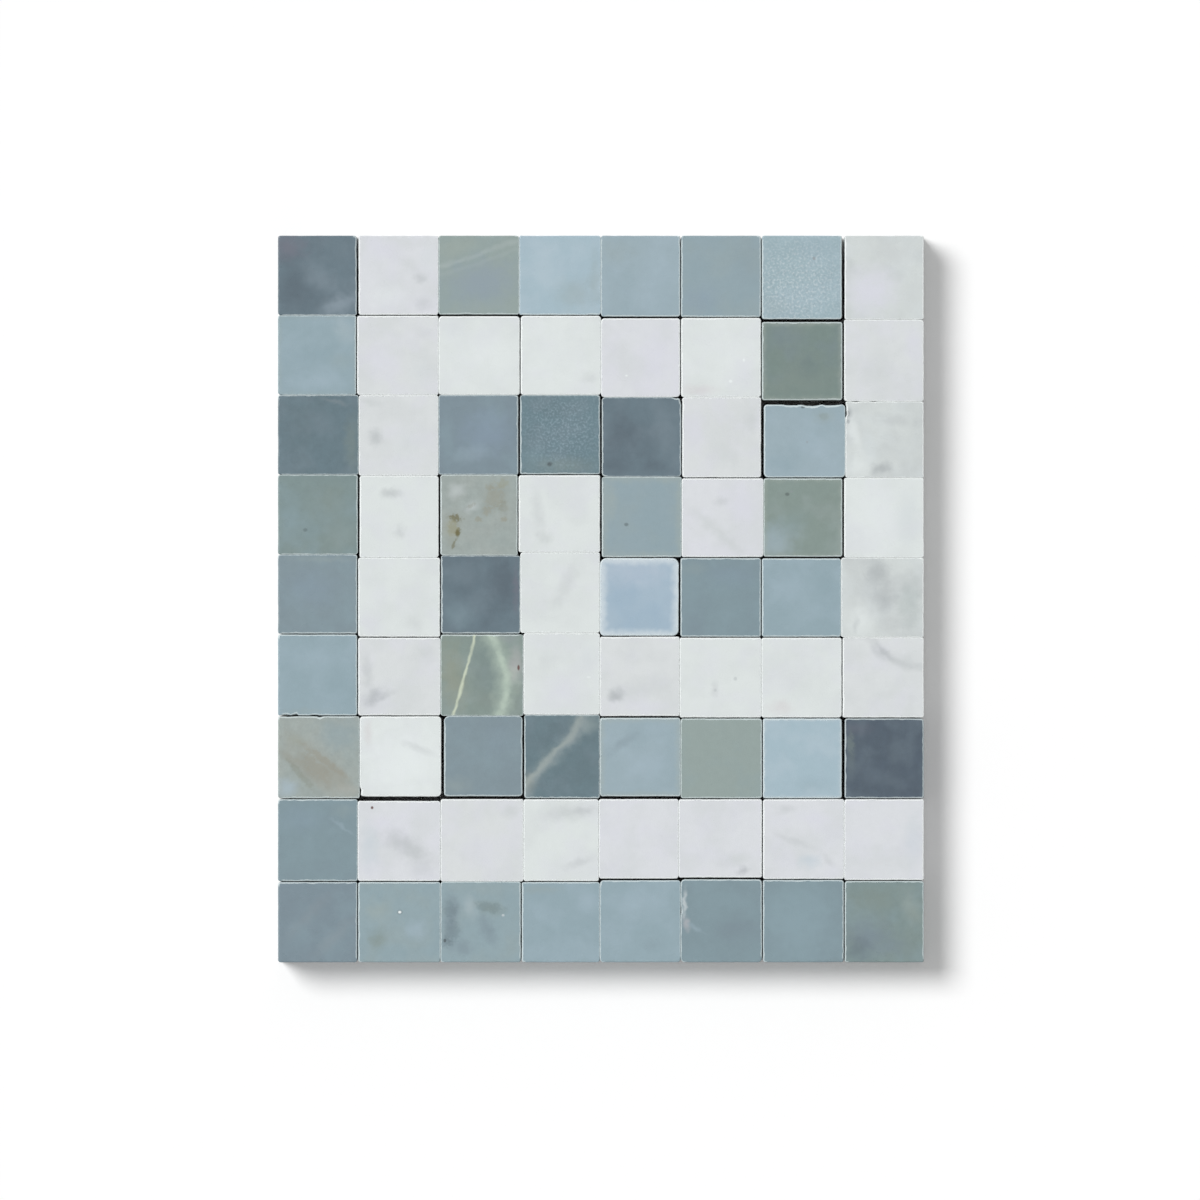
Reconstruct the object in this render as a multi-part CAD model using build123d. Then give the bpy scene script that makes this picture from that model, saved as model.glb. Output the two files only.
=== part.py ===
from build123d import *
import os

# Corner of a Greek key border, laid in small square marble chips on a glass-fibre mesh.
# Sizes are in millimetres. Looking down on the polished face, +X runs right along the
# bottom border, +Y runs up along the left border and +Z points out of the face.
# The origin is the middle of the underside.

# The straight run that each chip belongs to, one line for each row of chips from the top,
# with a capital letter for grey marble and a small one for white
PATTERN = [
    "LmTTTTTr",
    "LmttttRr",
    "LmHHDdRr",
    "LmIpDdRr",
    "LmIpSSRr",
    "LmIbbbbr",
    "LmBBBBBB",
    "Lmnnnnnn",
    "LOOOOOOO",
]
RUN_NAMES = {
    "L": "outer_line_left",
    "O": "outer_line_bottom",
    "B": "key_base",
    "I": "key_riser",
    "H": "key_hook",
    "D": "key_drop",
    "S": "key_step",
    "R": "key_rise",
    "T": "key_top",
    "m": "margin_left",
    "n": "margin_bottom",
    "r": "ground_right",
    "b": "ground_base",
    "p": "ground_pocket",
    "t": "ground_top",
    "d": "ground_drop",
}

# Grid of chips, from one joint line to the next
COLUMN_PITCH = 15.25
ROW_PITCH = 15.25

# One chip
CHIP_THICKNESS = 9.5
CORNER_BEVEL = 0.4
ARRIS = 0.25

# Joints between neighbouring chips, by how far the gap stands open
HAIRLINE = 0.08
FINE = 0.15
OPEN = 0.30
WIDE = 0.50
GAPING = 0.80

# One step of how far a joint lies off its even line, as the chips were laid by hand
STRAY = 0.2

# Glass-fibre mesh under the chips
YARN_WIDTH = 0.9
YARN_THICKNESS = 0.5
YARN_SPACING = 7.6
MESH_INSET = 0.8

JOINT_WIDTH = {"h": HAIRLINE, "f": FINE, "o": OPEN, "w": WIDE, "g": GAPING}

# Upright joints: one line for each row of chips from the top, one letter for each joint
# from the left, and the same again for how many steps the joint strays to the right
UPRIGHT_JOINTS = [
    "ohhhffw",
    "fhfhffo",
    "hhoofwh",
    "oofohho",
    "ffhhofh",
    "fhhhhhf",
    "hwohhfw",
    "hhhhhfh",
    "fhfhhff",
]
UPRIGHT_STRAY = [
    (-1, -1, -1, 0, -1, -1, 0),
    (-2, -1, 0, 0, -1, -1, 0),
    (0, -1, -1, 0, 0, 0, 2),
    (0, 0, -2, 0, 0, 1, 0),
    (-1, 1, 0, -1, -2, -1, -2),
    (-1, 1, 3, -1, -2, -1, -1),
    (1, 3, 3, -1, -1, 0, 0),
    (-1, 1, 3, -2, -3, 0, 1),
    (-1, 1, 1, -1, -1, 0, 1),
]

# Level joints: one line for each joint line from the top, one letter for each column from
# the left, and the same again for how many steps the joint strays upward
LEVEL_JOINTS = [
    "hfofofwh",
    "hhhhhhgh",
    "hhhfhffh",
    "hhhhffoh",
    "fffhfffh",
    "ffhhofff",
    "fgwfwfff",
    "ffhfooff",
]
LEVEL_STRAY = [
    (1, 1, 1, 1, -1, -1, -4, -3),
    (2, 2, 2, 2, 0, 0, -5, -4),
    (3, 2, 3, 3, 1, 0, 0, 0),
    (4, 1, 3, 6, 1, 1, 1, 1),
    (5, 2, 5, 6, 3, 2, 2, 2),
    (4, 4, 4, 5, 3, 2, 2, 2),
    (2, 2, 3, 2, 3, 2, 2, 2),
    (0, 0, 0, 0, 2, 3, 2, 1),
]

ROWS = len(PATTERN)
COLUMNS = len(PATTERN[0])
WIDTH = COLUMNS * COLUMN_PITCH
LENGTH = ROWS * ROW_PITCH


def upright_line(row, joint):
    """Where the middle of an upright joint is, or a side of the tile."""
    line = joint * COLUMN_PITCH - WIDTH / 2
    if joint in (0, COLUMNS):
        return line
    return line + UPRIGHT_STRAY[row][joint - 1] * STRAY


def level_line(joint, column):
    """Where the middle of a level joint is, or the upper or lower side of the tile."""
    line = LENGTH / 2 - joint * ROW_PITCH
    if joint in (0, ROWS):
        return line
    return line + LEVEL_STRAY[joint - 1][column] * STRAY


def half_upright_joint(row, joint):
    """Half the width of an upright joint, and nothing at the sides of the tile."""
    if joint in (0, COLUMNS):
        return 0.0
    return JOINT_WIDTH[UPRIGHT_JOINTS[row][joint - 1]] / 2


def half_level_joint(joint, column):
    """Half the width of a level joint, and nothing at the sides of the tile."""
    if joint in (0, ROWS):
        return 0.0
    return JOINT_WIDTH[LEVEL_JOINTS[joint - 1][column]] / 2


def make_chip(row, column):
    """One chip: a sawn block with its upright corners and its top edge worn off."""
    left = upright_line(row, column) + half_upright_joint(row, column)
    right = upright_line(row, column + 1) - half_upright_joint(row, column + 1)
    top = level_line(row, column) - half_level_joint(row, column)
    bottom = level_line(row + 1, column) + half_level_joint(row + 1, column)
    square = Rectangle(right - left, top - bottom)
    outline = chamfer(square.vertices(), CORNER_BEVEL)
    block = extrude(outline, CHIP_THICKNESS)
    chip = chamfer(block.faces().sort_by(Axis.Z)[-1].edges(), ARRIS)
    return Pos((left + right) / 2, (bottom + top) / 2, YARN_THICKNESS) * chip


def make_run(letter):
    """The chips of one straight run, as separate solids."""
    chips = []
    for row in range(ROWS):
        for column in range(COLUMNS):
            if PATTERN[row][column] == letter:
                chips.append(make_chip(row, column))
    return Compound(children=chips)


def yarn_places(span):
    """Places of parallel yarns, evenly about the middle of the tile."""
    count = int((span - 2 * MESH_INSET - YARN_WIDTH) / YARN_SPACING) + 1
    return [(index - (count - 1) / 2) * YARN_SPACING for index in range(count)]


def make_mesh():
    """The mesh: warp and weft yarns fused where they cross, with free ends."""
    warp_length = LENGTH - 2 * MESH_INSET
    weft_length = WIDTH - 2 * MESH_INSET
    net = Sketch()
    for x in yarn_places(WIDTH):
        net += Pos(x, 0) * Rectangle(YARN_WIDTH, warp_length)
    for y in yarn_places(LENGTH):
        net += Pos(0, y) * Rectangle(weft_length, YARN_WIDTH)
    return extrude(net, YARN_THICKNESS)


os.makedirs("parts", exist_ok=True)
for letter, name in RUN_NAMES.items():
    export_step(make_run(letter), f"parts/{name}.step")
export_step(make_mesh(), "parts/backing_mesh.step")
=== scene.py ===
import math
import random

import bmesh
import bpy
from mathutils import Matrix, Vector, noise


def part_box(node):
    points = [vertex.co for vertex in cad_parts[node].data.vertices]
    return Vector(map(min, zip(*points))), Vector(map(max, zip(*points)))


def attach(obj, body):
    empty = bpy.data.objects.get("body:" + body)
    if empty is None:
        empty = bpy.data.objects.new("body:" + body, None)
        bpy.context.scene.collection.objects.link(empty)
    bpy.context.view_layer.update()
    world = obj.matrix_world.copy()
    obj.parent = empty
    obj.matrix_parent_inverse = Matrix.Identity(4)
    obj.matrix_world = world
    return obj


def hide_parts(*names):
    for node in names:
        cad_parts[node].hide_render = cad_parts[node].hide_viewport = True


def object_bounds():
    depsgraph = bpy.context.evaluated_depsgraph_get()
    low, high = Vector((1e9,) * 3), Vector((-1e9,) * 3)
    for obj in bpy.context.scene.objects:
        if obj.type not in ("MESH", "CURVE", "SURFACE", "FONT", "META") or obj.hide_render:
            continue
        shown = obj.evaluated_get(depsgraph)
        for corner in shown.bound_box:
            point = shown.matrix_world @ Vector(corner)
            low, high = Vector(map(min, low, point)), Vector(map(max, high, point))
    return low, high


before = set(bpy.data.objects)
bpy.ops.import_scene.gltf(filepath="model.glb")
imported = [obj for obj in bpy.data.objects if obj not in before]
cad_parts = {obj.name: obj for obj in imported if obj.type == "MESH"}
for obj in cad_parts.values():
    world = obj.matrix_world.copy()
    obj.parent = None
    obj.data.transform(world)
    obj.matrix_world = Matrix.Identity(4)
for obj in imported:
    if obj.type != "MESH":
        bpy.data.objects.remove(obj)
cad_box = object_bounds()

MM = 0.001
PER_MM = (1 / MM, 1 / MM, 1 / MM)
LOW, HIGH = cad_box
MIDDLE = (LOW + HIGH) / 2
UP = Vector((0, 0, 1))

# The grid of chips
COLUMNS = 8
ROWS = 9
COLUMN_PITCH = (HIGH.x - LOW.x) / COLUMNS
ROW_PITCH = (HIGH.y - LOW.y) / ROWS

# Photograph: its size, where the middle of the tile stands in it, and its scale
PHOTO_SIZE = 1200
PHOTO_MIDDLE_X = 601
PHOTO_MIDDLE_Y = 599
PHOTO_PIXELS_PER_MM = 5.295

# How many metres above the floor the camera is
CAMERA_HEIGHT = 3.0

# Light from the upper left: how far it throws a shadow right and down, as shares of the
# height that throws it, how wide the lamp is, and how much of the light it and the sky give
SHADOW_RIGHT = 0.60
SHADOW_DOWN = 0.41
LAMP_ANGLE = math.radians(28)
LAMP_SHARE = 0.68
SKY_SHARE = 0.32

# The floor: how many metres wide and how white it is, what is added to that where it is
# seen, and how far in from the tile's sides the addition fades out
FLOOR_SIZE = 8.0
FLOOR_WHITE = 0.85
FLOOR_LIFT = 0.155
FLOOR_FADE = 1.0 * MM

# What the gloss of a polished face adds to its colour under this light
POLISH_LIFT = 0.035

# Outline of a chip: steps along its sides, radius of its worn corners and how much of that
# varies, and steps round a corner
OUTLINE_STEP = 0.5 * MM
CORNER_ROUND = 0.45 * MM
CORNER_SPREAD = 0.25
CORNER_STEPS = 5

# Arris between a chip's face and sides: its radius, the same at a closed joint, how much of
# that comes and goes, and how far its paleness, partly wear and partly painted highlight, fades
# onto the face
ARRIS = 0.20 * MM
CLOSED_ARRIS = 0.11 * MM
ARRIS_VARIES = 0.6
ARRIS_STEPS = 3
LINE_MARGIN = 0.14 * MM

# The most that arris and margin may take of a corner's radius
CORNER_ARRIS = 0.5
CORNER_MARGIN = 0.3

# Paleness of the arris at a closed joint, and at the tile's own sides but for the right one;
# the paleness is partly wear and partly painted highlight
CLOSED_PALE = 0.8
OUTER_PALE = 0.1

# Joints narrower than the first of these are shown as narrow as the second
CLOSED_JOINT = 0.12 * MM
CLOSED_GAP = 0.015 * MM

# Waver of a chip's sides: how far inward, how long its waves and its grit are, and the share
# of the grit in it
SIDE_WAVER = 0.05 * MM
SIDE_WAVE = 4 * MM
SIDE_GRIT = 0.9 * MM
GRIT_SHARE = 0.4

# Sawn part of the sides: how far and over what length it wavers, in how many levels, and how
# far below the deepest arris it ends
SAWN_WAVER = 0.04 * MM
SAWN_WAVE = 3 * MM
SAWN_LEVELS = 2
SHOULDER = 0.5 * MM

# How much lower than in the CAD a chip's face may lie
HEIGHT_WAVER = 0.05 * MM

# How much of a bite's depth goes in from the side, and how much widens the arris
BITE_INWARD = 0.7
BITE_ARRIS = 0.5

# Corner radius, in mm, of the chips that are more worn than the others
ROUNDED = {
    (1, 2): 0.6, (1, 3): 0.6, (1, 4): 0.7, (1, 5): 0.6, (2, 4): 0.6, (2, 6): 0.8,
    (4, 4): 1.1, (6, 1): 0.75, (6, 2): 0.8, (8, 4): 0.7, (8, 5): 0.7,
}

# Bites out of a chip's edge: where from its middle, how wide and how deep, in mm
BITES = {
    (2, 6): [(-2.5, 7, 1.6, 0.25), (1.2, 7, 2, 0.35), (5, 7, 1.8, 0.22)],
    (2, 7): [(-7.6, 5.6, 1.4, 0.45), (-5.5, 7.6, 1, 0.2), (-2, 7.6, 0.8, 0.12)],
    (2, 4): [(6.8, 7.2, 1.2, 0.4)],
    (5, 0): [(-6.2, -7.6, 0.9, 0.28), (-4.3, -7.6, 0.7, 0.3), (-0.6, -7.6, 0.8, 0.22)],
    (6, 0): [(-5.6, 7.6, 0.8, 0.18), (0.2, 7.6, 0.6, 0.15)],
    (6, 1): [(-7.4, -6.8, 1.2, 0.35)],
    (8, 5): [(-7.4, 2, 1.2, 0.2)],
    (0, 0): [(7.4, 4.5, 1.5, 0.15)],
}

# The net: glass yarns, flat wefts one way and twisted pairs of strands the other way. A
# section is a width, a thickness and how many sides it has
YARN_SPACING = 7.6 * MM
YARN_WIDTH = 0.9 * MM
YARN_STEPS = 10
WEFT_SECTION = (YARN_WIDTH, 0.16 * MM, 8)
STRAND_SECTION = (0.36 * MM, 0.17 * MM, 6)
STRAND_APART = 0.2 * MM
STRAND_RISE = 0.16 * MM

# Width of a weft where a pair holds it, and what is added with each spacing from there
WEFT_HELD = 0.78
WEFT_SPREAD = 0.44

# How far and over what length the yarns sway, and which layer of the noise each kind takes
YARN_SWAY = 0.08 * MM
SWAY_LENGTH = 9 * MM
WEFT_LAYER = 0
WARP_LAYER = 5

# Finish of the yarns: fibres round one, how strongly resin colours it, how rough it is, how
# much smoother under resin, and how deep its relief is
FIBRES_ROUND = 40
RESIN_STRENGTH = 0.5
YARN_ROUGHNESS = 0.55
RESIN_SMOOTHING = 0.25
YARN_RELIEF = 0.02 * MM


def srgb(red, green, blue):
    """A colour as read off a screen, 0 to 255, in the linear numbers that shaders take."""
    linear = []
    for channel in (red, green, blue):
        share = channel / 255
        low = share <= 0.04045
        linear.append(share / 12.92 if low else ((share + 0.055) / 1.055) ** 2.4)
    return (*linear, 1.0)


def polished(red, green, blue):
    """The stone's own colour, where the polished face is seen in the given one."""
    seen = srgb(red, green, blue)
    return (*[max(0.0, channel - POLISH_LIFT) for channel in seen[:3]], 1.0)


class Value:
    """A number that varies over a surface, written with Python's own operators."""

    def __init__(self, recipe, socket):
        self.recipe = recipe
        self.socket = socket

    def calculate(self, operation, first, second=0.0):
        made = self.recipe.node("Math", {"operation": operation}, {0: first, 1: second})
        return Value(self.recipe, made.outputs[0])

    def __add__(self, other):
        return self.calculate("ADD", self, other)

    def __radd__(self, other):
        return self.calculate("ADD", other, self)

    def __sub__(self, other):
        return self.calculate("SUBTRACT", self, other)

    def __rsub__(self, other):
        return self.calculate("SUBTRACT", other, self)

    def __mul__(self, other):
        return self.calculate("MULTIPLY", self, other)

    def __rmul__(self, other):
        return self.calculate("MULTIPLY", other, self)

    def __truediv__(self, other):
        return self.calculate("DIVIDE", self, other)

    def __abs__(self):
        return self.calculate("ABSOLUTE", self)

    def larger(self, other):
        return self.calculate("MAXIMUM", self, other)

    def smaller(self, other):
        return self.calculate("MINIMUM", self, other)


class Recipe:
    """The nodes of a material or of the sky, and the few ways of joining them used here."""

    def __init__(self, holder):
        holder.use_nodes = True
        self.holder = holder
        self.tree = holder.node_tree
        self.tree.nodes.clear()

    def node(self, kind, settings=None, inputs=None):
        """A node of any type: its settings first, then its sockets' values or links."""
        made = self.tree.nodes.new("ShaderNode" + kind)
        for name, setting in (settings or {}).items():
            if name == "points":
                self.bend_curve(made.mapping, setting)
            else:
                setattr(made, name, setting)
        for name, given in (inputs or {}).items():
            given = given.socket if isinstance(given, Value) else given
            if isinstance(given, bpy.types.NodeSocket):
                self.tree.links.new(given, made.inputs[name])
            else:
                made.inputs[name].default_value = given
        return made

    def bend_curve(self, mapping, points):
        """Lays a curve node's curve through points between 0 and 1."""
        curve = mapping.curves[0]
        curve.points[0].location = points[0]
        curve.points[1].location = points[-1]
        for point in points[1:-1]:
            curve.points.new(*point)
        mapping.update()

    def vector(self, operation, first, second=(0.0, 0.0, 0.0)):
        """Vector maths that gives a vector."""
        made = self.node("VectorMath", {"operation": operation}, {0: first, 1: second})
        return made.outputs[0]

    def size(self, vector):
        """How long a vector is."""
        made = self.node("VectorMath", {"operation": "LENGTH"}, {0: vector})
        return Value(self, made.outputs[1])

    def part(self, vector, axis):
        """One part of a vector: X, Y or Z."""
        return Value(self, self.node("SeparateXYZ", None, {0: vector}).outputs[axis])

    def attribute(self, name):
        """A number that is stored on the mesh."""
        return Value(self, self.node("Attribute", {"attribute_name": name}).outputs["Fac"])

    def rise(self, value, low, high):
        """0 below low, 1 above high and a soft step between them."""
        step = {"interpolation_type": "SMOOTHSTEP"}
        made = self.node("MapRange", step, {"Value": value, "From Min": low, "From Max": high})
        return Value(self, made.outputs[0])

    def noise(self, place, size, detail=2.0):
        """Soft noise from 0 to 1, in lumps about that many millimetres across."""
        made = self.node("TexNoise", None, {"Vector": place, "Scale": 1 / size, "Detail": detail})
        return Value(self, made.outputs[0])

    def mix(self, share, first, second):
        """The first colour, turning into the second as share goes from 0 to 1."""
        made = self.node("Mix", {"data_type": "RGBA"}, {0: share, 6: first, 7: second})
        return made.outputs[2]

    def shine(self, colour, factor):
        """A colour made lighter or darker."""
        made = self.node("VectorMath", {"operation": "SCALE"}, {0: colour, 3: factor})
        return made.outputs[0]

    def surface(self, colour, roughness, height, depth):
        """The shader: colour, roughness, and a relief that is so many metres deep."""
        relief = self.node("Bump", None, {"Distance": depth, "Height": height})
        sockets = {"Base Color": colour, "Roughness": roughness, "Normal": relief.outputs[0]}
        shader = self.node("BsdfPrincipled", None, sockets)
        self.node("OutputMaterial", None, {0: shader.outputs[0]})
        return self.holder


# Colours of what clouds, stains or runs through the stone, as its polished face shows them
TINTS = {
    "white": (235, 241, 241),
    "pale": (212, 219, 221),
    "ice": (190, 204, 213),
    "lilac": (219, 220, 230),
    "mist": (205, 210, 211),
    "smoke": (184, 189, 191),
    "ash": (148, 154, 158),
    "steel": (147, 161, 171),
    "slate": (126, 140, 149),
    "dusk": (122, 119, 131),
    "ink": (92, 103, 112),
    "deep": (104, 120, 126),
    "blue": (140, 157, 175),
    "sky": (172, 190, 202),
    "teal": (142, 163, 171),
    "sea": (155, 168, 167),
    "moss": (134, 146, 140),
    "leaf": (168, 177, 169),
    "lime": (210, 219, 197),
    "mint": (198, 214, 199),
    "olive": (152, 153, 132),
    "khaki": (148, 146, 130),
    "mud": (110, 105, 74),
    "sand": (178, 179, 172),
    "clay": (152, 150, 138),
    "rose": (210, 203, 206),
    "rust": (98, 62, 58),
    "soot": (68, 73, 75),
}

# Colours of the sawn sides and the back
SAW_DUST = srgb(206, 211, 208)
GLUE = srgb(214, 211, 196)

# Pale colour of the arrises of grey and of white marble, partly wear and partly painted
# highlight that also makes up for the shade on their lower and right sides, and how strongly it
# shows
GREY_EDGE_WEAR_AND_HIGHLIGHT = (srgb(214, 225, 226), 0.62)
WHITE_EDGE_WEAR_AND_HIGHLIGHT = (srgb(238, 242, 241), 0.75)

# Colours of the net's fibres, of the shade between them and of the resin
GLASS = srgb(226, 228, 224)
GLASS_SHADE = srgb(188, 192, 186)
RESIN = srgb(214, 212, 194)

# The marbles, with a capital letter for grey and a small one for white: colour of the
# polished face, two tints that cloud it, and the strength of its clouds, mottle and grain
MARBLES = {
    "C": ((87, 98, 109), "ink", "slate", 0.25, 0.14, 0.08),  # charcoal
    "D": ((108, 124, 133), "ink", "slate", 0.3, 0.1, 0.05),  # dark slate
    "E": ((107, 125, 133), "deep", "slate", 0.3, 0.14, 0.09),  # dark teal
    "F": ((108, 127, 134), "deep", "slate", 0.3, 0.14, 0.09),  # veined teal
    "S": ((129, 145, 154), "slate", "teal", 0.3, 0.07, 0.04),  # slate
    "A": ((134, 150, 157), "slate", "teal", 0.25, 0.06, 0.04),  # grey
    "T": ((106, 128, 136), "deep", "slate", 0.3, 0.12, 0.1),  # grained teal
    "B": ((133, 152, 159), "slate", "teal", 0.25, 0.05, 0.03),  # steel
    "N": ((149, 167, 174), "teal", "sea", 0.25, 0.04, 0.03),  # grey blue
    "L": ((150, 170, 178), "teal", "sky", 0.2, 0.04, 0.03),  # light steel
    "K": ((158, 176, 184), "teal", "sky", 0.2, 0.04, 0.03),  # pale steel
    "I": ((168, 189, 199), "sky", "ice", 0.25, 0.03, 0.02),  # ice
    "J": ((159, 180, 187), "sky", "teal", 0.25, 0.06, 0.06),  # grained ice
    "P": ((162, 183, 199), "ice", "sky", 0.2, 0.03, 0.02),  # pale lilac
    "G": ((151, 165, 162), "sea", "teal", 0.2, 0.05, 0.03),  # sage
    "M": ((124, 140, 136), "moss", "slate", 0.3, 0.09, 0.05),  # moss
    "Q": ((130, 147, 147), "moss", "teal", 0.3, 0.1, 0.05),  # grey moss
    "O": ((136, 151, 146), "moss", "sea", 0.35, 0.08, 0.05),  # green
    "R": ((160, 170, 167), "sand", "sea", 0.18, 0.14, 0.08),  # beige
    "V": ((149, 168, 174), "teal", "sea", 0.3, 0.07, 0.04),  # blue green
    "w": ((223, 229, 228), "mist", "lilac", 0.25, 0.02, 0.01),  # white
    "v": ((219, 223, 224), "mist", "lilac", 0.35, 0.03, 0.01),  # soft white
    "c": ((211, 217, 216), "smoke", "pale", 0.35, 0.05, 0.02),  # clouded
    "l": ((220, 223, 227), "mist", "lilac", 0.35, 0.03, 0.01),  # lilac white
}

# Which marble each chip is cut from, one line for each row from the top
LAYOUT = [
    "DlGIKNJc",
    "LvwwlwMv",
    "EvSTDvKc",
    "QwRwNlOw",
    "AwDwPBLc",
    "LvOwvwwv",
    "RwAFKGIC",
    "Blvwllll",
    "SVVLLBBQ",
]

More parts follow.
